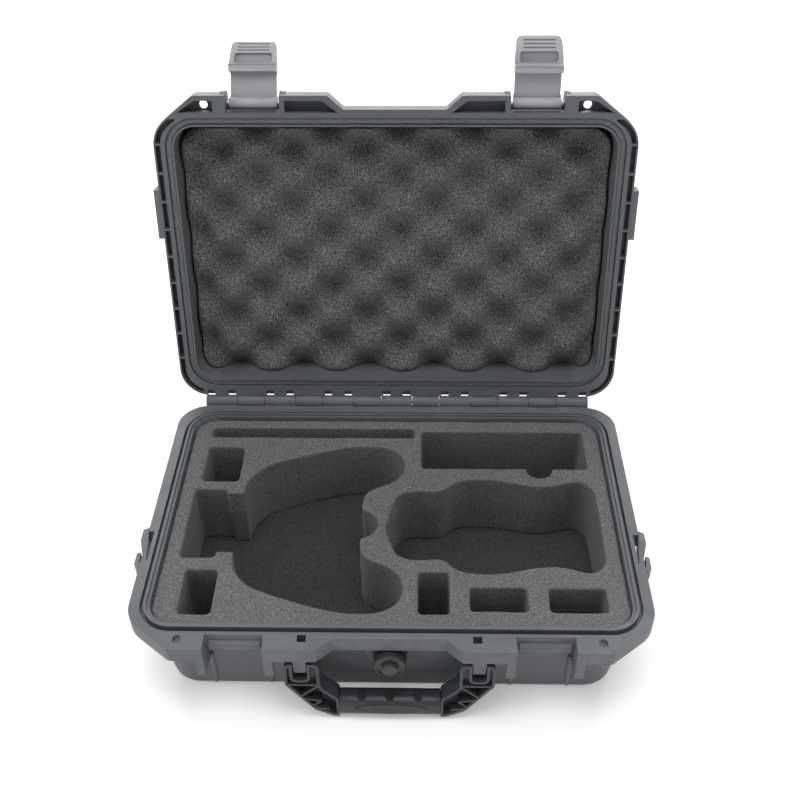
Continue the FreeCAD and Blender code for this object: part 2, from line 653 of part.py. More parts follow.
def side_band(side):
    """Row of open cells that follows the lid flange's side and both of its corners."""
    low = LID_RIM_Z - 1
    up = V(0, 0, BAND_DEPTH + 1)
    outline = flange_outline(low)
    outer = outline.makeOffset2D(-BAND_INSET).extrude(up)
    inner = outline.makeOffset2D(-BAND_INSET - BAND_WIDTH).extrude(up)
    zone = box(side * BAND_FROM_X, side * HALF_X, BAND_FRONT, FLANGE_BACK, low, LID_TOP_Z)
    ribs = []
    for index in range(BAND_COUNT):
        start = BAND_FIRST_RIB - index * BAND_PITCH
        ribs.append(box(side * BAND_FROM_X, side * HALF_X, start, start + BAND_RIB, low, LID_TOP_Z))
    return outer.cut(inner).common(zone).cut(ribs).Solids


def ear_pockets(side):
    """Open trapezoid pockets in the front ears, with a floor for the padlock hole."""
    recess_out = LATCH_X + LATCH_RECESS / 2 + 10
    recess_in = LATCH_X - LATCH_RECESS / 2 - 4
    back = -HALF_Y + 2.5
    front = EAR_Y + EAR_POCKET_WALL
    outlines = [
        [(recess_out, back), (EAR_OUTER_X + 13, back), (EAR_OUTER_X - 1, front), (recess_out, front)],
        [(EAR_INNER_X - 8, back), (recess_in, back), (recess_in, front), (EAR_INNER_X + 4, front)],
    ]
    pockets = []
    for outline in outlines:
        points = [V(side * x, y, LID_RIM_Z - 1) for x, y in outline + outline[:1]]
        face = Part.Face(Part.makePolygon(points))
        pockets.append(face.extrude(V(0, 0, SKIRT_HEIGHT - EAR_FLOOR + 1)))
    return pockets


def latch_lugs(side):
    """Round-nosed ears beside the recess that hold the latch pin."""
    lugs = []
    half = LATCH_RECESS / 2
    for edge, away in ((LATCH_X - half, -1), (LATCH_X + half, 1)):
        start = side * edge
        end = side * (edge + away * LUG_THICK)
        lugs.append(bar(LUG_ROUND_R, start, end, PIVOT_Y, PIVOT_Z))
        lugs.append(profile_prism([(PIVOT_Y, PIVOT_Z + LUG_ROUND_R), (-OUTER_Y + 2, PIVOT_Z + LUG_ROUND_R + 3),
                                   (-OUTER_Y + 2, LID_RIM_Z + 1), (PIVOT_Y, LID_RIM_Z + 1)],
                                  start, end))
    low = PIVOT_Z + HEEL_CLEARANCE
    lugs.append(box(side * (LATCH_X - half), side * (LATCH_X + half), PIVOT_Y + LUG_WIDTH / 2,
                    -OUTER_Y + 2, low, low + RECESS_WEB))
    return lugs


def latch_pin(side):
    reach = LATCH_RECESS / 2 + LUG_THICK
    return bar(LATCH_PIN_R, side * LATCH_X - reach, side * LATCH_X + reach, PIVOT_Y, PIVOT_Z)


def lid_gasket():
    return ring(SEAL_X, SEAL_Y, SEAL_CORNER_R, GROOVE_WIDTH - 0.2, LID_RIM_Z + GASKET_SINK,
                LID_RIM_Z + GROOVE_DEPTH)


def lid_foam():
    radius = SEAL_CORNER_R - GROOVE_WIDTH / 2 - LIP_WALL
    depth = LID_TOP_Z - WALL - LID_RIM_Z

    def section(z):
        inset = LID_TAPER * (z - LID_RIM_Z) / depth + LID_FOAM_SIDE_GAP
        return (LID_CAVITY_X - inset, LID_CAVITY_Y - inset, radius)

    top = LID_TOP_Z - WALL
    return tapered(section(LID_FOAM_Z), section(top), LID_FOAM_Z, top).cut(foam_pits())


def foam_pits():
    """Staggered conical pits of the convoluted face."""
    pits = []
    for row in range(PIT_ROWS):
        for column in range(row % 2, PIT_COLUMNS, 2):
            place = V(PIT_FIRST[0] + column * PIT_STEP[0], PIT_FIRST[1] - row * PIT_STEP[1], LID_FOAM_Z)
            pits.append(Part.makeCone(PIT_MOUTH_R, PIT_FLOOR_R, PIT_DEPTH, place))
    return pits


# ---------------------------------------------------------------- latches
def latch(side):
    """Latch drawn shut: barrel on the pin, flat plate, hook, then the grooved thumb tab."""
    x0 = side * LATCH_X - LATCH_WIDTH / 2
    x1 = side * LATCH_X + LATCH_WIDTH / 2
    outer = PIVOT_Y - 1.5 - LATCH_PLATE
    inner = PIVOT_Y - 1.5
    tip = RECESS_Y - 0.7
    hook_low = LATCH_HOOK_V + LATCH_HOOK_H
    tab_long = LATCH_LENGTH - hook_low

    def at(v):
        return PIVOT_Z - v

    def outside(share):
        return outer - LATCH_FLARE * share ** 1.6

    def inside(share):
        return outside(share) + LATCH_TAB + (LATCH_TAB_TIP - LATCH_TAB) * share

    shares = [0.2, 0.4, 0.6, 0.8, 0.95]
    body = profile_prism(
        [(outer, at(-2.0)), (outer, at(hook_low))]
        + [(outside(share), at(hook_low + tab_long * share)) for share in shares]
        + [(outside(1.0) + 0.8, at(LATCH_LENGTH)), (inside(1.0) - 1.0, at(LATCH_LENGTH))]
        + [(inside(share), at(hook_low + tab_long * share)) for share in reversed(shares)]
        + [(inside(0.0), at(hook_low + 1)),
           (tip + 1.0, at(hook_low)), (tip, at(hook_low - 1)), (tip, at(LATCH_HOOK_V)),
           (inner, at(LATCH_HOOK_V)), (inner, at(2.0)), (PIVOT_Y, at(0)),
           (PIVOT_Y, at(-LATCH_BARREL_R + 0.4)), (outer + 1.5, at(-LATCH_BARREL_R + 0.6))], x0, x1)
    body = join([body, bar(LATCH_BARREL_R, x0, x1, PIVOT_Y, PIVOT_Z)])
    body = body.common(latch_outline(x0, x1, at, hook_low))
    window = front_prism([(x0 + 4, at(hook_low + 1.4)), (x1 - 4, at(hook_low + 1.4)),
                          (x1 - 4, at(hook_low + 9.6)), (x0 + 4, at(hook_low + 9.6))],
                         inside(0.0) + 1, outer + 0.8, [2.0] * 4)
    cuts = [window, bar(LATCH_PIN_R + RUNNING_CLEARANCE, x0 - 1, x1 + 1, PIVOT_Y, PIVOT_Z)]
    for share in (0.60, 0.73, 0.86):
        groove_z = at(hook_low + tab_long * share)
        cuts.append(box(x0 + 6.5, x1 - 6.5, inside(share) + 2, inside(share) - 0.9,
                        groove_z - 0.55, groove_z + 0.55))
        cuts.append(box(x0 + 6.5, x1 - 6.5, outside(share) - 2, outside(share) + 0.7,
                        groove_z - 0.55, groove_z + 0.55))
    return body.cut(cuts)


def latch_outline(x0, x1, at, hook_low):
    """Latch seen from the front: narrow plate, wider tab tapering to its rounded tip."""
    half = [(0, at(-LATCH_BARREL_R - 1)), (0, at(LATCH_BARREL_R + 1)), (LATCH_SHOULDER, at(LATCH_BARREL_R + 1.7)),
            (LATCH_SHOULDER, at(LATCH_HOOK_V - 0.7)), (0, at(LATCH_HOOK_V)), (0, at(hook_low + 4)),
            (LATCH_TAB_TAPER, at(LATCH_LENGTH))]
    left = [(x0 + inset, z) for inset, z in half]
    right = [(x1 - inset, z) for inset, z in reversed(half)]
    radii = [0] * (len(half) - 1) + [LATCH_TAB_R, LATCH_TAB_R] + [0] * (len(half) - 1)
    return front_prism(left + right, PIVOT_Y - 25, PIVOT_Y + 25, radii)


def latch_at_rest(side, angle):
    turned = latch(side)
    turned.rotate(V(0, PIVOT_Y, PIVOT_Z), X_AXIS, -angle)
    return opened(turned)


# ---------------------------------------------------------------- handle
def grip_middle_z():
    return HANDLE_PIVOT_Z - HANDLE_REACH + GRIP_HEIGHT / 2


def swung_out(shape):
    """From upright to the handle's rest pose."""
    shape.rotate(V(0, HANDLE_PIVOT_Y, HANDLE_PIVOT_Z), X_AXIS, -HANDLE_REST)
    return shape


def handle_frame():
    """Two braced arms joined by a core bar that runs through the grip."""
    back = HANDLE_PIVOT_Y + HANDLE_THICK / 2
    front = HANDLE_PIVOT_Y - HANDLE_THICK / 2
    top = HANDLE_PIVOT_Z + 5
    bottom = HANDLE_PIVOT_Z - HANDLE_REACH
    core_z, core_y = GRIP_CORE
    middle = grip_middle_z()
    pieces = [box(-GRIP_HALF - 1, GRIP_HALF + 1, HANDLE_PIVOT_Y - core_y / 2,
                  HANDLE_PIVOT_Y + core_y / 2, middle - core_z / 2, middle + core_z / 2)]
    cuts = []
    for side in SIDES:
        edge = GRIP_HALF + 0.2
        outline = [(HANDLE_INNER, top), (HANDLE_HALF, top), (HANDLE_HALF, HANDLE_PIVOT_Z - 15),
                   (HANDLE_HALF - 21, bottom + 6), (edge + 4, bottom), (edge, bottom),
                   (edge, bottom + GRIP_HEIGHT), (HANDLE_INNER, bottom + GRIP_HEIGHT + 12)]
        arm = front_prism([(side * x, z) for x, z in outline], front, back, [5, 5, 4, 6, 4, 0, 6, 8])
        pieces.append(arm)
        cuts.append(clevis_slot(side, 0.0))
        cuts.append(truss_hollow(side, arm, front))
        cuts.append(bar(HANDLE_PIN_R + RUNNING_CLEARANCE, side * (HANDLE_TAB_X - 9.5),
                        side * (HANDLE_TAB_X + 9.5), HANDLE_PIVOT_Y, HANDLE_PIVOT_Z))
    return swung_out(join(pieces).cut(cuts))


def clevis_slot(side, wall):
    """Slot in the arm's head for the base's tongue, deep enough to swing, grown by a wall."""
    half = HANDLE_TAB_WIDTH / 2 + HANDLE_SIDE_GAP + wall
    x = side * HANDLE_TAB_X
    low = HANDLE_PIVOT_Z - CLEVIS_DROP - wall
    high = HANDLE_PIVOT_Z + 20
    radius = CLEVIS_R + wall
    return front_prism([(x - half, low), (x + half, low), (x + half, high), (x - half, high)],
                       HANDLE_PIVOT_Y - HANDLE_THICK, HANDLE_PIVOT_Y + HANDLE_THICK, [radius, radius, 0, 0])


def truss_hollow(side, arm, front):
    """Hollows between the arm's braces, open at the front and shallower beside the pin."""
    skin = [face for face in arm.Faces if face.BoundBox.YMax < front + 0.01][0]
    hollow = skin.makeOffset2D(-TRUSS_WALL).extrude(V(0, TRUSS_DEPTH, 0))
    level = HANDLE_PIVOT_Z - CROSS_BRACE_DROP
    x0 = side * (GRIP_HALF - 5)
    x1 = side * (HANDLE_HALF + 5)
    back = front + HANDLE_THICK
    keeps = [clevis_slot(side, TRUSS_WALL),
             box(x0, x1, front + HEAD_DEPTH, back, level, HANDLE_PIVOT_Z + 20),
             box(x0, x1, front, back, level - BRACE_WIDTH, level)]
    for start, end in zip(BRACES, BRACES[1:]):
        keeps.append(brace(side, start, end, front, back))
    return hollow.cut(keeps)


def brace(side, start, end, front, back):
    along = V(end[0] - start[0], 0, end[1] - start[1])
    along.normalize()
    across = V(-along.z, 0, along.x) * (BRACE_WIDTH / 2)
    corners = [(start[0] + across.x, start[1] + across.z), (end[0] + across.x, end[1] + across.z),
               (end[0] - across.x, end[1] - across.z), (start[0] - across.x, start[1] - across.z)]
    return front_prism([(side * x, HANDLE_PIVOT_Z - drop) for x, drop in corners], front, back)


def handle_grip():
    """Soft sleeve over the core bar: round section, finger grooves and a plain oval on its front."""
    middle = grip_middle_z()
    half_z = GRIP_HEIGHT / 2
    half_y = GRIP_DEPTH / 2
    sleeve = box(-GRIP_HALF, GRIP_HALF, HANDLE_PIVOT_Y - half_y, HANDLE_PIVOT_Y + half_y,
                 middle - half_z, middle + half_z)
    long_edges = [edge for edge in sleeve.Edges if edge.BoundBox.XLength > GRIP_HALF]
    sleeve = sleeve.makeFillet(GRIP_CORNER_R, long_edges)
    oval = Part.Ellipse(V(0, 0, 0), *GRIP_OVAL).toShape()
    oval.rotate(V(0, 0, 0), X_AXIS, 90)
    oval.translate(V(0, HANDLE_PIVOT_Y - half_y - 0.5, middle))
    plate = Part.Face(Part.Wire([oval])).extrude(V(0, 2, 0))
    core_z, core_y = GRIP_CORE
    cuts = [box(-GRIP_HALF - 1, GRIP_HALF + 1, HANDLE_PIVOT_Y - core_y / 2,
                HANDLE_PIVOT_Y + core_y / 2, middle - core_z / 2, middle + core_z / 2)]
    groove_z = middle + half_z + FINGER_GROOVE_R - FINGER_GROOVE_DEPTH
    for x in FINGER_GROOVES:
        cuts.append(Part.makeCylinder(FINGER_GROOVE_R, GRIP_DEPTH + 2,
                                      V(x, HANDLE_PIVOT_Y - half_y - 1, groove_z), Y_AXIS))
    return swung_out(sleeve.fuse(plate).cut(cuts))


def handle_pin(side):
    reach = 9.5
    x = side * HANDLE_TAB_X
    return bar(HANDLE_PIN_R, x - reach + 0.3, x + reach - 0.3, HANDLE_PIVOT_Y, HANDLE_PIVOT_Z)


# ---------------------------------------------------------------- pressure valve
PAD_FACE = wall_y(RIM_Z) - VALVE_PAD_RISE
HOUSING_FACE = PAD_FACE - VALVE_GASKET - VALVE_FLANGE
KNOB_BACK = HOUSING_FACE - VALVE_KNOB_GAP
KNOB_FRONT = KNOB_BACK - VALVE_KNOB_LONG


def valve_gasket():
    return disc(VALVE_FLANGE_R, PAD_FACE - VALVE_GASKET, PAD_FACE).cut(
        disc(VALVE_HOLE_R, PAD_FACE - 5, PAD_FACE + 5))


def valve_housing():
    inner = wall_y(VALVE_Z) + WALL - 0.4
    neck = disc(VALVE_HOLE_R, HOUSING_FACE, inner)
    head = disc(VALVE_FLANGE_R, HOUSING_FACE, PAD_FACE - VALVE_GASKET)
    return neck.fuse(head).cut(disc(VALVE_STEM_R + RUNNING_CLEARANCE, HOUSING_FACE - 1, inner + 1))


def valve_knob():
    knob = disc(VALVE_KNOB_R, KNOB_FRONT, KNOB_BACK)
    rim = [edge for edge in knob.Edges if edge.BoundBox.YMax < KNOB_FRONT + 0.01]
    knob = knob.makeFillet(1.5, rim)
    cuts = [disc(VALVE_STEM_R, KNOB_FRONT - 1, KNOB_BACK + 1)]
    for index in range(KNURL_COUNT):
        angle = 2 * math.pi * index / KNURL_COUNT
        reach = VALVE_KNOB_R + KNURL_R * 0.35
        cuts.append(disc(KNURL_R, KNOB_FRONT - 1, KNOB_BACK + 1, reach * math.cos(angle),
                         VALVE_Z + reach * math.sin(angle)))
    face_ring = disc(9.6, KNOB_FRONT - 1, KNOB_FRONT + 0.8).cut(
        disc(VALVE_CAP_R + 0.8, KNOB_FRONT - 2, KNOB_FRONT + 2))
    groove = disc(9.0, KNOB_BACK - 1.2, KNOB_BACK + 1).cut(disc(6.6, KNOB_BACK - 2, KNOB_BACK + 2))
    return knob.cut(cuts + [face_ring, groove])


def valve_screw():
    cap = disc(VALVE_CAP_R, KNOB_FRONT - VALVE_CAP_OUT, KNOB_FRONT)
    rim = [edge for edge in cap.Edges if edge.BoundBox.YMax < KNOB_FRONT - VALVE_CAP_OUT + 0.01]
    cap = cap.makeFillet(1.2, rim)
    stem = disc(VALVE_STEM_R, KNOB_FRONT - 1, PAD_FACE + 2)
    return cap.fuse(stem)


def valve_o_ring():
    """Square-section sealing ring seated in the knob's rear groove."""
    back = KNOB_BACK + 0.2
    return disc(8.9, KNOB_BACK - 1.2, back).cut(disc(6.7, KNOB_BACK - 2, back + 1))


# ---------------------------------------------------------------- build
whole_base = base_shell()
save("base_shell", whole_base.cut(floor_zone()))
save("base_floor", whole_base.common(floor_zone()))
save("base_foam_block", foam_block())
save("base_foam_pad", foam_pad())
save("hinge_pin", hinge_pin())
save("valve_gasket", valve_gasket())
save("valve_housing", valve_housing())
save("valve_knob", valve_knob())
save("valve_screw", valve_screw())
save("valve_o_ring", valve_o_ring())
save("lid_shell", opened(lid_shell()))
save("lid_gasket", opened(lid_gasket()))
save("lid_foam", opened(lid_foam()))
save("handle_frame", handle_frame())
save("handle_grip", handle_grip())
for side_name, side_sign, side_angle in (("left", -1, LATCH_LEFT_OPEN), ("right", 1, LATCH_RIGHT_OPEN)):
    save("latch_" + side_name, latch_at_rest(side_sign, side_angle))
    save("latch_pin_" + side_name, opened(latch_pin(side_sign)))
    save("handle_pin_" + side_name, handle_pin(side_sign))
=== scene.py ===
"""Hard carrying case, shown open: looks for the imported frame.

Metres, in the frame's own axes: X across the case, +Y towards the hinge, +Z up.
"""

import json
import math

import bmesh
import bpy
import numpy as np
from mathutils import Matrix, Vector, noise


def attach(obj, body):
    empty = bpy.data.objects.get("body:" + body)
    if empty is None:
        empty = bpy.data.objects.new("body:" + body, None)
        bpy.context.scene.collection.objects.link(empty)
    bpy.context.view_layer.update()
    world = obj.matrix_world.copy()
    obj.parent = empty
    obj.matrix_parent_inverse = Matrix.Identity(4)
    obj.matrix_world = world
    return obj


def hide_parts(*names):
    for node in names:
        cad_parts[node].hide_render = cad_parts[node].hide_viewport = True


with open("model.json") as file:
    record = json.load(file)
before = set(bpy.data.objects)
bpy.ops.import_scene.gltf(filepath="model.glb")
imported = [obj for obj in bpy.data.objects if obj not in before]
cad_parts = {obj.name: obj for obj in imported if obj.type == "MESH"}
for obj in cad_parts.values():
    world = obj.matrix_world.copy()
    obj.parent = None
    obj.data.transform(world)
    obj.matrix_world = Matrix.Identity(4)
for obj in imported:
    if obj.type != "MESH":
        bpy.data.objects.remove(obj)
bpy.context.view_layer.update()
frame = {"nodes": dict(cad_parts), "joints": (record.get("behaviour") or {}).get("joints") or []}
NODES = frame["nodes"]
JOINTS = {joint["name"]: joint for joint in frame["joints"]}

# ---------------------------------------------------------------- frame places
HINGE = Vector(JOINTS["lid_hinge"]["pos_m"])
LID_ANGLE = math.radians(JOINTS["lid_hinge"]["range_deg"][1])
HALF_WIDTH = 0.190          # half the flange's width
RIM_Z = 0.070               # base rim plane

# the camera, in half widths from the point of the rim plane under the hinge
CAMERA_PLACE = (0.1032, -3.7104, 3.1343)
CAMERA_PITCH = 40.049       # degrees below the horizon
CAMERA_YAW = -1.346
CAMERA_ROLL = -0.557
CAMERA_LENS = 46.6


# ---------------------------------------------------------------- camera, stage and light
def make_camera():
    """Camera at the angle that shows the open case from above its front."""
    pitch, yaw, roll = (math.radians(v) for v in (CAMERA_PITCH, CAMERA_YAW, CAMERA_ROLL))
    ahead = Vector((math.sin(yaw) * math.cos(pitch), math.cos(yaw) * math.cos(pitch), -math.sin(pitch)))
    level = Vector((math.cos(yaw), -math.sin(yaw), 0))
    above = level.cross(ahead)
    right = level * math.cos(roll) + above * math.sin(roll)
    up = above * math.cos(roll) - level * math.sin(roll)
    place = Vector((0, HINGE.y, RIM_Z)) + Vector(CAMERA_PLACE) * HALF_WIDTH
    camera = bpy.data.objects.new("camera", bpy.data.cameras.new("camera"))
    camera.data.lens = CAMERA_LENS
    camera.data.clip_end = 50
    turn = Matrix((right, up, -ahead)).transposed().to_4x4()
    camera.matrix_world = Matrix.Translation(place) @ turn
    bpy.context.scene.collection.objects.link(camera)
    bpy.context.scene.camera = camera


# name, place, aim, width and height, power
SOFTBOXES = (
    ("back_softbox", (0.0, 2.0, 1.75), (0, 0.1, 0.15), (3.2, 1.5), 40),
    ("rim_softbox", (0.0, 2.2, 0.95), (0, 0.2, 0.37), (3.0, 0.6), 30),
    ("top_softbox", (0.0, -0.20, 1.65), (0, 0, 0.05), (1.2, 0.9), 10),
    ("left_softbox", (-1.5, -0.2, 1.0), (0, 0, 0.08), (0.9, 1.2), 7),
    ("right_softbox", (1.5, -0.1, 1.1), (0, 0, 0.08), (0.9, 1.2), 4),
)
FLOOR_REACH = 6.0


def add_area_light(name, place, target, size, power):
    light = bpy.data.lights.new(name, "AREA")
    light.shape = "RECTANGLE"
    light.size, light.size_y = size
    light.energy = power
    lamp = bpy.data.objects.new(name, light)
    lamp.location = place
    lamp.rotation_euler = (Vector(target) - Vector(place)).to_track_quat("-Z", "Y").to_euler()
    bpy.context.scene.collection.objects.link(lamp)


def make_stage():
    """Pale floor, white surroundings and soft lights."""
    mesh = bpy.data.meshes.new("floor")
    reach = FLOOR_REACH
    corners = [(-reach, -reach, 0), (reach, -reach, 0), (reach, reach, 0), (-reach, reach, 0)]
    mesh.from_pydata(corners, [], [(0, 1, 2, 3)])
    floor = bpy.data.objects.new("floor", mesh)
    bpy.context.scene.collection.objects.link(floor)
    material = bpy.data.materials.new("floor_white")
    material.use_nodes = True
    shader = material.node_tree.nodes["Principled BSDF"]
    shader.inputs["Base Color"].default_value = (0.93, 0.93, 0.935, 1)
    shader.inputs["Roughness"].default_value = 0.75
    shader.inputs["Specular IOR Level"].default_value = 0.15
    shader.inputs["Emission Color"].default_value = (1, 1, 1, 1)
    shader.inputs["Emission Strength"].default_value = 0.22
    mesh.materials.append(material)
    world = bpy.data.worlds.new("studio")
    world.use_nodes = True
    background = world.node_tree.nodes["Background"]
    background.inputs["Color"].default_value = (1, 1, 1, 1)
    background.inputs["Strength"].default_value = 0.46
    bpy.context.scene.world = world
    bpy.context.scene.view_settings.view_transform = "Standard"
    for name, place, target, size, power in SOFTBOXES:
        add_area_light(name, place, target, size, power)


# ---------------------------------------------------------------- node material helpers
MIX_A = 6                   # colour sockets of the mix node
MIX_B = 7
MIX_RESULT = 2


class Nodes:
    """Short way to write a material's node tree."""

    def __init__(self, name):
        self.material = bpy.data.materials.new(name)
        self.material.use_nodes = True
        self.tree = self.material.node_tree
        self.shader = self.tree.nodes["Principled BSDF"]
        self.place = self.add("ShaderNodeTexCoord").outputs["Object"]

    def add(self, kind, **settings):
        node = self.tree.nodes.new(kind)
        for key, value in settings.items():
            setattr(node, key, value)
        return node

    def link(self, source, target):
        self.tree.links.new(source, target)

    def noise(self, scale, detail=2.0, roughness=0.5):
        node = self.add("ShaderNodeTexNoise")
        node.inputs["Scale"].default_value = scale
        node.inputs["Detail"].default_value = detail
        node.inputs["Roughness"].default_value = roughness
        self.link(self.place, node.inputs["Vector"])
        return node.outputs["Fac"]

    def cells(self, scale, feature="F1"):
        node = self.add("ShaderNodeTexVoronoi", feature=feature)
        node.inputs["Scale"].default_value = scale
        self.link(self.place, node.inputs["Vector"])
        return node.outputs["Distance"]

    def ramp(self, source, stops):
        node = self.add("ShaderNodeValToRGB")
        elements = node.color_ramp.elements
        while len(elements) < len(stops):
            elements.new(0.5)
        for element, (position, colour) in zip(elements, stops):
            element.position = position
            element.color = (*colour, 1) if len(colour) == 3 else (colour[0],) * 3 + (1,)
        self.link(source, node.inputs["Fac"])
        return node.outputs["Color"]

    def span(self, source, low, high, out_low, out_high):
        node = self.add("ShaderNodeMapRange")
        limits = {"From Min": low, "From Max": high, "To Min": out_low, "To Max": out_high}
        for key, value in limits.items():
            node.inputs[key].default_value = value
        self.link(source, node.inputs["Value"])
        return node.outputs["Result"]

    def mix(self, amount, first, second):
        node = self.add("ShaderNodeMix", data_type="RGBA")
        sockets = (node.inputs["Factor"], node.inputs[MIX_A], node.inputs[MIX_B])
        for socket, value in zip(sockets, (amount, first, second)):
            if isinstance(value, tuple):
                socket.default_value = (*value, 1)
            elif isinstance(value, (float, int)):
                socket.default_value = value
            else:
                self.link(value, socket)
        return node.outputs[MIX_RESULT]

    def maths(self, operation, first, second):
        node = self.add("ShaderNodeMath", operation=operation)
        for socket, value in zip(node.inputs, (first, second)):
            if isinstance(value, (float, int)):
                socket.default_value = value
            else:
                self.link(value, socket)
        return node.outputs["Value"]

    def bump(self, height, strength, distance, below=None):
        node = self.add("ShaderNodeBump")
        node.inputs["Strength"].default_value = strength
        node.inputs["Distance"].default_value = distance
        self.link(height, node.inputs["Height"])
        if below is not None:
            self.link(below, node.inputs["Normal"])
        return node.outputs["Normal"]

    def set(self, **values):
        for key, value in values.items():
            self.shader.inputs[key.replace("_", " ")].default_value = value


def edges_of(n, low, high):
    """How sharp and outward-facing the surface is, from 0 to 1."""
    pointiness = n.add("ShaderNodeNewGeometry").outputs["Pointiness"]
    return n.span(pointiness, low, high, 0.0, 1.0)


def moulded_plastic(name, colour, roughness, grain=0.5):
    """Textured injection-moulded plastic: fine spark-eroded grain, faint flow shade, painted highlights
    along the edges.
    """
    n = Nodes(name)
    light = tuple(c * 1.09 for c in colour)
    dark = tuple(c * 0.94 for c in colour)
    cloud = n.noise(14, 4)
    fine = n.noise(2600, 2)
    body = n.mix(n.span(cloud, 0.35, 0.65, 0, 1), dark, light)
    speck = n.ramp(fine, [(0.62, (0,)), (0.72, (1,))])
    body = n.mix(n.maths("MULTIPLY", speck, 0.10), body, tuple(c * 2.2 for c in colour))
    # painted highlight: sharp outward edges are lightened in the colour, patchily, standing in for the
    # bevels catching the light
    painted_edge_highlight = n.maths("MULTIPLY", edges_of(n, 0.515, 0.58), n.span(n.noise(120, 3), 0.4, 0.65, 0.15, 0.4))
    body = n.mix(painted_edge_highlight, body, tuple(min(1, c * 1.6 + 0.01) for c in colour))
    n.link(body, n.shader.inputs["Base Color"])
    sheen = n.span(n.noise(60, 3), 0.3, 0.7, roughness - 0.07, roughness + 0.07)
    n.link(sheen, n.shader.inputs["Roughness"])
    coarse = n.bump(n.noise(900, 2), 0.25 * grain, 0.0002)
    n.link(n.bump(fine, 0.5 * grain, 0.00008, coarse), n.shader.inputs["Normal"])
    n.set(Specular_IOR_Level=0.45)
    return n.material


def foam_material(name, colour, speck_amount, cell=1500, fuzz=0.5, grain=0.70):
    """Cell foam: dark body with tiny pale cell walls that catch the light."""
    n = Nodes(name)
    shade = n.mix(n.span(n.noise(9, 3), 0.35, 0.65, 0, 1), tuple(c * 0.85 for c in colour),
                  tuple(c * 1.15 for c in colour))
    grit = n.noise(cell, 3, 0.65)
    pores = n.cells(cell * 0.6)
    grey = n.mix(n.span(grit, 0.38, 0.64, 0, 1), tuple(c * 0.30 for c in colour),
                 tuple(c * 2.30 for c in colour))
    body = n.mix(grain, shade, grey)
    sparkle = n.ramp(n.noise(cell * 0.8, 1), [(0.68, (0,)), (0.76, (1,))])
    pale = tuple(min(1, c * 5 + 0.05) for c in colour)
    body = n.mix(n.maths("MULTIPLY", sparkle, speck_amount), body, pale)
    # the colour is made lighter along sharp outward edges
    foam_edge_lightening = n.maths("MULTIPLY", edges_of(n, 0.52, 0.60), 0.35)
    body = n.mix(foam_edge_lightening, body, tuple(c * 2.4 + 0.01 for c in colour))
    n.link(body, n.shader.inputs["Base Color"])
    n.set(Roughness=0.92, Specular_IOR_Level=0.12, Sheen_Weight=0.12, Sheen_Roughness=0.5)
    coarse = n.bump(pores, fuzz, 0.0005)
    n.link(n.bump(grit, fuzz, 0.0004, coarse), n.shader.inputs["Normal"])
    return n.material


def rubber_material(name, colour, roughness):
    """Smooth rubber with a cloudy tone and edges made slightly lighter."""
    n = Nodes(name)
    body = n.mix(n.span(n.noise(40, 4), 0.35, 0.65, 0, 1), tuple(c * 0.8 for c in colour),
                 tuple(c * 1.25 for c in colour))
    # the colour is made lighter along sharp outward edges
    rubber_edge_lightening = n.maths("MULTIPLY", edges_of(n, 0.51, 0.57), 0.35)
    body = n.mix(rubber_edge_lightening, body, tuple(c * 2.2 + 0.01 for c in colour))
    n.link(body, n.shader.inputs["Base Color"])
    sheen = n.span(n.noise(90, 3), 0.3, 0.7, roughness - 0.06, roughness + 0.08)
    n.link(sheen, n.shader.inputs["Roughness"])
    n.link(n.bump(n.noise(1500, 2), 0.25, 0.0001), n.shader.inputs["Normal"])
    return n.material


def steel_material(name):
    """Drawn steel rod: fine lines along X."""
    n = Nodes(name)
    stretch = n.add("ShaderNodeMapping")
    stretch.inputs["Scale"].default_value = (20, 900, 900)
    n.link(n.place, stretch.inputs["Vector"])
    lines = n.add("ShaderNodeTexNoise")
    lines.inputs["Scale"].default_value = 1.0
    n.link(stretch.outputs["Vector"], lines.inputs["Vector"])
    body = n.mix(lines.outputs["Fac"], (0.42, 0.42, 0.43), (0.62, 0.62, 0.62))
    n.link(body, n.shader.inputs["Base Color"])
    n.link(n.span(lines.outputs["Fac"], 0.3, 0.7, 0.25, 0.4), n.shader.inputs["Roughness"])
    n.set(Metallic=1.0)
    return n.material


# ---------------------------------------------------------------- carried-over CAD nodes
def finish_node(name, material, bevel=0.0):
    """New material for a CAD node, with its moulded edges slightly rounded by modifiers."""
    node = NODES[name]
    node.data.materials.clear()
    node.data.materials.append(material)
    if bevel:
        weld = node.modifiers.new("weld", "WELD")
        weld.merge_threshold = 0.000005
        round_off = node.modifiers.new("round", "BEVEL")
        round_off.width = bevel
        round_off.segments = 2
        round_off.limit_method = "ANGLE"
        round_off.angle_limit = math.radians(35)
        round_off.harden_normals = True
        round_off.use_clamp_overlap = True


# ---------------------------------------------------------------- soft pieces
def add_piece(name, mesh, body, material, replaced):
    piece = bpy.data.objects.new(name, mesh)
    bpy.context.scene.collection.objects.link(piece)
    mesh.materials.clear()
    mesh.materials.append(material)
    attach(piece, body)
    if replaced:
        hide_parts(replaced)
    return piece


def remeshed_copy(source, voxel):
    """A watertight, even mesh of a CAD node, as new mesh data."""
    work = bpy.data.objects.new("work", NODES[source].data.copy())
    bpy.context.scene.collection.objects.link(work)
    modifier = work.modifiers.new("remesh", "REMESH")
    modifier.mode = "VOXEL"
    modifier.voxel_size = voxel
    modifier.use_smooth_shade = True
    depsgraph = bpy.context.evaluated_depsgraph_get()
    mesh = bpy.data.meshes.new_from_object(work.evaluated_get(depsgraph))
    bpy.data.objects.remove(work)
    return mesh


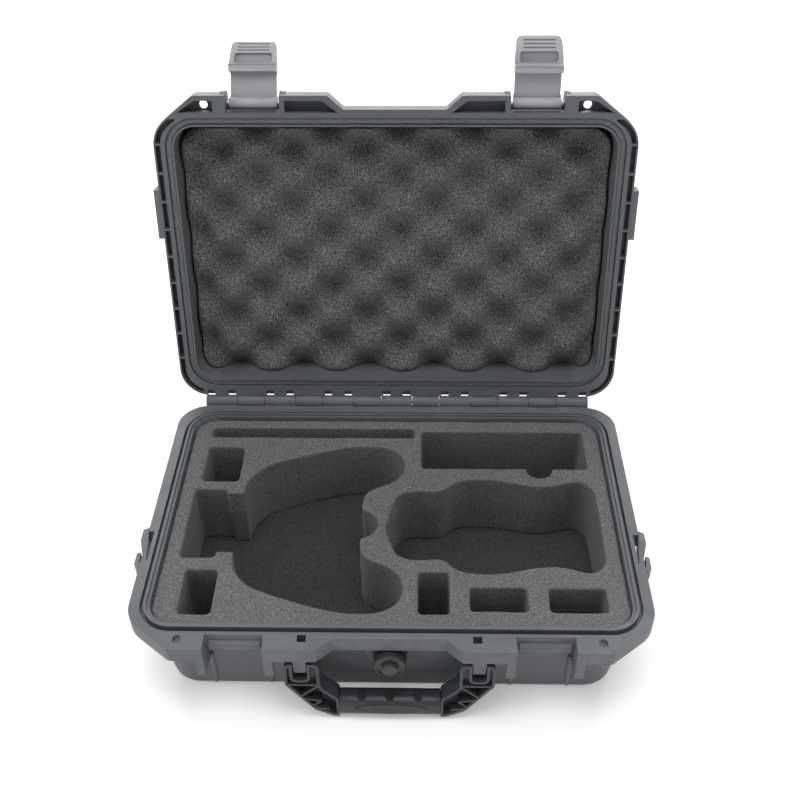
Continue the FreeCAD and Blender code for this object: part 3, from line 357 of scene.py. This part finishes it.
def soften(mesh, rounds):
    """Average each vertex with its neighbours, which rounds the cut edges."""
    shape = bmesh.new()
    shape.from_mesh(mesh)
    for _ in range(rounds):
        bmesh.ops.smooth_vert(shape, verts=shape.verts, factor=0.5, use_axis_x=True, use_axis_y=True,
                              use_axis_z=True)
    shape.to_mesh(mesh)
    shape.free()


BROAD_WAVES = 55            # how closely the two noises repeat, per metre
FINE_WAVES = 420


def roughen(mesh, broad, fine):
    """Push the surface in and out by a little fixed noise, as a blade leaves cut foam."""
    count = len(mesh.vertices)
    places = np.empty(count * 3, dtype=np.float32)
    normals = np.empty(count * 3, dtype=np.float32)
    mesh.vertices.foreach_get("co", places)
    mesh.vertex_normals.foreach_get("vector", normals)
    places = places.reshape(count, 3)
    pushes = np.array([broad * noise.noise(Vector(spot) * BROAD_WAVES)
                       + fine * noise.noise(Vector(spot) * FINE_WAVES)
                       for spot in places.tolist()], dtype=np.float32)
    places += normals.reshape(count, 3) * pushes[:, None]
    mesh.vertices.foreach_set("co", places.ravel())
    mesh.update()
    smooth_shading(mesh)


def smooth_shading(mesh):
    mesh.polygons.foreach_set("use_smooth", [True] * len(mesh.polygons))


BLOCK_VOXEL = 0.0012
PAD_VOXEL = 0.002
BLOCK_ROUGH = (0.0004, 0.00012)     # broad and fine depth of the cut surface
PAD_ROUGH = (0.0003, 0.0001)


def make_base_foam(material, pad_material):
    """The die-cut block and the sheet under it, with soft edges and a cut surface."""
    voxel = BLOCK_VOXEL
    mesh = remeshed_copy("base_foam_block", voxel)
    soften(mesh, 1)
    roughen(mesh, *BLOCK_ROUGH)
    block = add_piece("foam_insert", mesh, "base", material, "base_foam_block")
    mesh = remeshed_copy("base_foam_pad", PAD_VOXEL)
    roughen(mesh, *PAD_ROUGH)
    pad = add_piece("foam_floor", mesh, "base", pad_material, "base_foam_pad")


def lid_turn():
    """Takes a point drawn with the lid shut to the open rest pose."""
    return Matrix.Translation(HINGE) @ Matrix.Rotation(-LID_ANGLE, 4, "X") @ Matrix.Translation(-HINGE)


def rounded_box_inset(x, y, half_x, half_y, radius):
    """Signed distance inside a rounded rectangle, positive inwards."""
    dx = abs(x) - (half_x - radius)
    dy = abs(y) - (half_y - radius)
    outside = math.hypot(max(dx, 0), max(dy, 0)) + min(max(dx, dy), 0)
    return radius - outside


# convoluted lid foam, drawn shut
CREST_Z = 0.0836
VALLEY_DROP = 0.0190
LID_FOAM_BACK = 0.1148
CRATE_PITCH_X = 0.0580
CRATE_PITCH_Y = 0.0500
CRATE_PIT_X = -0.1406       # one pit of the lattice
CRATE_PIT_Y = 0.1081
LID_FOAM_HALF = (0.1716, 0.1096)
LID_FOAM_CORNER = 0.0175
LID_FOAM_SHORT = 0.0042     # gap between the sheet and the lid's front wall
EDGE_CALM = 0.011           # the waves fade towards the left and right edges
EDGE_SHARE = 0.30           # what is left of them at the edge
CRATE_SHARPNESS = 1.3
FOAM_RIM = 0.004            # width of the rounded rim, and its drop
FOAM_RIM_DROP = 0.0018
FOAM_STEP = 0.0013
SIDE_LAYERS = 8
SIDE_LEAN = 0.007           # how much smaller the sheet's back is


def crate_height(x, y):
    """0 at a crest, 1 in a pit; pits and crests alternate like the squares of a draughts board."""
    u = (x - CRATE_PIT_X) / CRATE_PITCH_X
    v = (y - CRATE_PIT_Y) / CRATE_PITCH_Y
    wave = math.cos(2 * math.pi * u) * math.cos(2 * math.pi * v)
    return (0.5 + 0.5 * wave) ** CRATE_SHARPNESS


def shortened(y, half_y):
    """Squeeze the sheet's front part back from the lid's front wall."""
    return y + LID_FOAM_SHORT * max(0.0, -y / half_y) ** 4


def make_lid_foam(material):
    """Foam sheet with an egg-crate face: a height field over a rounded rectangle, closed by cut sides."""
    step = FOAM_STEP
    half_x, half_y = LID_FOAM_HALF
    count_x = int(2 * half_x / step)
    count_y = int(2 * half_y / step)
    shape = bmesh.new()
    rows = []
    for j in range(count_y + 1):
        row = []
        for i in range(count_x + 1):
            x = -half_x + 2 * half_x * i / count_x
            y = -half_y + 2 * half_y * j / count_y
            # squeeze the square grid's corners on to the rounded outline
            x, y = round_the_corner(x, y, half_x, half_y, LID_FOAM_CORNER)
            edge = rounded_box_inset(x, y, half_x, half_y, LID_FOAM_CORNER)
            calm = min(1.0, EDGE_SHARE + (1 - EDGE_SHARE) * max(0.0, half_x - abs(x)) / EDGE_CALM)
            drop = VALLEY_DROP * crate_height(x, y) * calm
            rim = max(0.0, 1 - edge / FOAM_RIM)
            z = CREST_Z + drop + FOAM_RIM_DROP * rim * rim
            z += 0.0009 * noise.noise(Vector((x * 30, y * 30, 3.1)))
            z += 0.00012 * noise.noise(Vector((x * 500, y * 500, 8.7)))
            row.append(shape.verts.new((x, shortened(y, half_y), z)))
        rows.append(row)
    for j in range(count_y):
        for i in range(count_x):
            shape.faces.new((rows[j][i], rows[j + 1][i], rows[j + 1][i + 1], rows[j][i + 1]))
    right_side = [row[-1] for row in rows[1:]]
    left_side = [row[0] for row in rows[-2:0:-1]]
    border = rows[0] + right_side + rows[-1][-2::-1] + left_side
    previous = border
    for layer in range(1, SIDE_LAYERS + 1):
        share = layer / SIDE_LAYERS
        ring = []
        for vertex in border:
            z = vertex.co.z + (LID_FOAM_BACK - vertex.co.z) * share
            wobble = 0.0005 * noise.noise(Vector((vertex.co.x * 90, vertex.co.y * 90, z * 120)))
            pull = 1 - SIDE_LEAN * share + wobble
            ring.append(shape.verts.new((vertex.co.x * pull, vertex.co.y * pull, z)))
        for k in range(len(border)):
            nxt = (k + 1) % len(border)
            shape.faces.new((previous[k], previous[nxt], ring[nxt], ring[k]))
        previous = ring
    shape.faces.new(previous)
    bmesh.ops.recalc_face_normals(shape, faces=shape.faces)
    mesh = bpy.data.meshes.new("lid_foam_crates")
    shape.to_mesh(mesh)
    shape.free()
    mesh.transform(lid_turn())
    smooth_shading(mesh)
    piece = add_piece("convoluted_foam", mesh, "lid", material, "lid_foam")


# sealing cord, drawn shut: centreline of its groove and the section's half width and height
CORD_HALF = (0.1784, 0.1152)
CORD_CORNER = 0.022
CORD_WIDTH = 0.00255
CORD_FACE_Z = 0.0721
CORD_BACK_Z = 0.0752
CORD_CROWN = 0.0014         # height of the rounded face
CORD_SWELL = 0.07           # how much the width and the face wander
CORD_LIFT = 0.0003
CORD_FACETS = 8
CORD_STEP = 0.002


def rounded_path(half_x, half_y, radius, step):
    """Points and outward directions along a rounded rectangle, counter-clockwise."""
    path = []
    corners = ((1, 1, 0), (-1, 1, 90), (-1, -1, 180), (1, -1, 270))
    for sign_x, sign_y, start in corners:
        centre = Vector((sign_x * (half_x - radius), sign_y * (half_y - radius)))
        arcs = max(4, int(radius * math.pi / 2 / step))
        for k in range(arcs + 1):
            angle = math.radians(start + 90 * k / arcs)
            out = Vector((math.cos(angle), math.sin(angle)))
            path.append((centre + out * radius, out))
        after = math.radians(start + 90)
        out = Vector((math.cos(after), math.sin(after)))
        along = Vector((-out.y, out.x))
        length = 2 * ((half_x if abs(along.x) > 0.5 else half_y) - radius)
        straight = int(length / step)
        begin = centre + out * radius
        for k in range(1, straight):
            path.append((begin + along * length * k / straight, out))
    return path


def make_seal_cord(material):
    """Grey sponge cord pressed into the lid's groove, with a rounded face and slightly uneven sides."""
    path = rounded_path(*CORD_HALF, CORD_CORNER, CORD_STEP)
    section = []
    for k in range(CORD_FACETS + 1):
        angle = math.pi * k / CORD_FACETS
        section.append((math.cos(angle), math.sin(angle)))
    shape = bmesh.new()
    rings = []
    for place, out in path:
        swell = 1 + CORD_SWELL * noise.noise(Vector((place.x * 70, place.y * 70, 1.7)))
        lift = CORD_LIFT * noise.noise(Vector((place.x * 40, place.y * 40, 5.2)))
        ring = []
        for across, rise in section:
            spot = place + out * across * CORD_WIDTH * swell
            z = CORD_FACE_Z + CORD_CROWN - CORD_CROWN * rise ** 0.7 - lift
            ring.append(shape.verts.new((spot.x, spot.y, z)))
        for across in (-0.96, 0.96):
            spot = place + out * across * CORD_WIDTH
            ring.append(shape.verts.new((spot.x, spot.y, CORD_BACK_Z)))
        rings.append(ring)
    for k in range(len(rings)):
        ahead = rings[(k + 1) % len(rings)]
        for m in range(len(ahead)):
            n = (m + 1) % len(ahead)
            shape.faces.new((rings[k][m], ahead[m], ahead[n], rings[k][n]))
    bmesh.ops.recalc_face_normals(shape, faces=shape.faces)
    mesh = bpy.data.meshes.new("seal_cord_mesh")
    shape.to_mesh(mesh)
    shape.free()
    mesh.transform(lid_turn())
    smooth_shading(mesh)
    cord = add_piece("seal_cord", mesh, "lid", material, "lid_gasket")


def round_the_corner(x, y, half_x, half_y, radius):
    """Pull a point that lies outside the rounded outline back on to it."""
    inset = rounded_box_inset(x, y, half_x, half_y, radius)
    if inset >= 0:
        return x, y
    centre_x = math.copysign(half_x - radius, x)
    centre_y = math.copysign(half_y - radius, y)
    away = Vector((x - centre_x, y - centre_y)).normalized() * radius
    return centre_x + away.x, centre_y + away.y


# ---------------------------------------------------------------- build
MOULDED_EDGE = 0.0005       # rounding of the plastic pieces' edges
LATCH_EDGE = 0.0004
VALVE_EDGE = 0.0002
PINS = ("hinge_pin", "latch_pin_left", "latch_pin_right", "handle_pin_left", "handle_pin_right")


def main():
    make_camera()
    make_stage()
    shell = moulded_plastic("shell_plastic", (0.100, 0.106, 0.114), 0.50, 0.6)
    latch = moulded_plastic("latch_plastic", (0.310, 0.313, 0.328), 0.42, 0.4)
    handle = moulded_plastic("handle_plastic", (0.040, 0.044, 0.049), 0.38, 0.5)
    valve = moulded_plastic("valve_plastic", (0.036, 0.038, 0.042), 0.38, 0.4)
    grip = rubber_material("grip_rubber", (0.019, 0.021, 0.024), 0.42)
    seal = rubber_material("seal_rubber", (0.02, 0.02, 0.02), 0.5)
    sponge = foam_material("seal_sponge", (0.13, 0.135, 0.14), 0.1, 1800, 0.3)
    cut_foam = foam_material("cut_foam", (0.112, 0.114, 0.116), 0.6)
    floor_foam = foam_material("floor_foam", (0.043, 0.046, 0.046), 0.2)
    crate_foam = foam_material("crate_foam", (0.082, 0.083, 0.082), 0.9, 900, 0.7, 1.0)
    steel = steel_material("pin_steel")
    for name in ("base_shell", "lid_shell"):
        finish_node(name, shell, MOULDED_EDGE)
    finish_node("base_floor", shell)
    for name in ("latch_left", "latch_right"):
        finish_node(name, latch, LATCH_EDGE)
    finish_node("handle_frame", handle, MOULDED_EDGE)
    finish_node("handle_grip", grip, MOULDED_EDGE)
    for name in ("valve_knob", "valve_screw", "valve_housing"):
        finish_node(name, valve, VALVE_EDGE)
    for name in ("valve_gasket", "valve_o_ring"):
        finish_node(name, seal)
    for name in PINS:
        finish_node(name, steel)
    make_base_foam(cut_foam, floor_foam)
    make_lid_foam(crate_foam)
    make_seal_cord(sponge)


main()
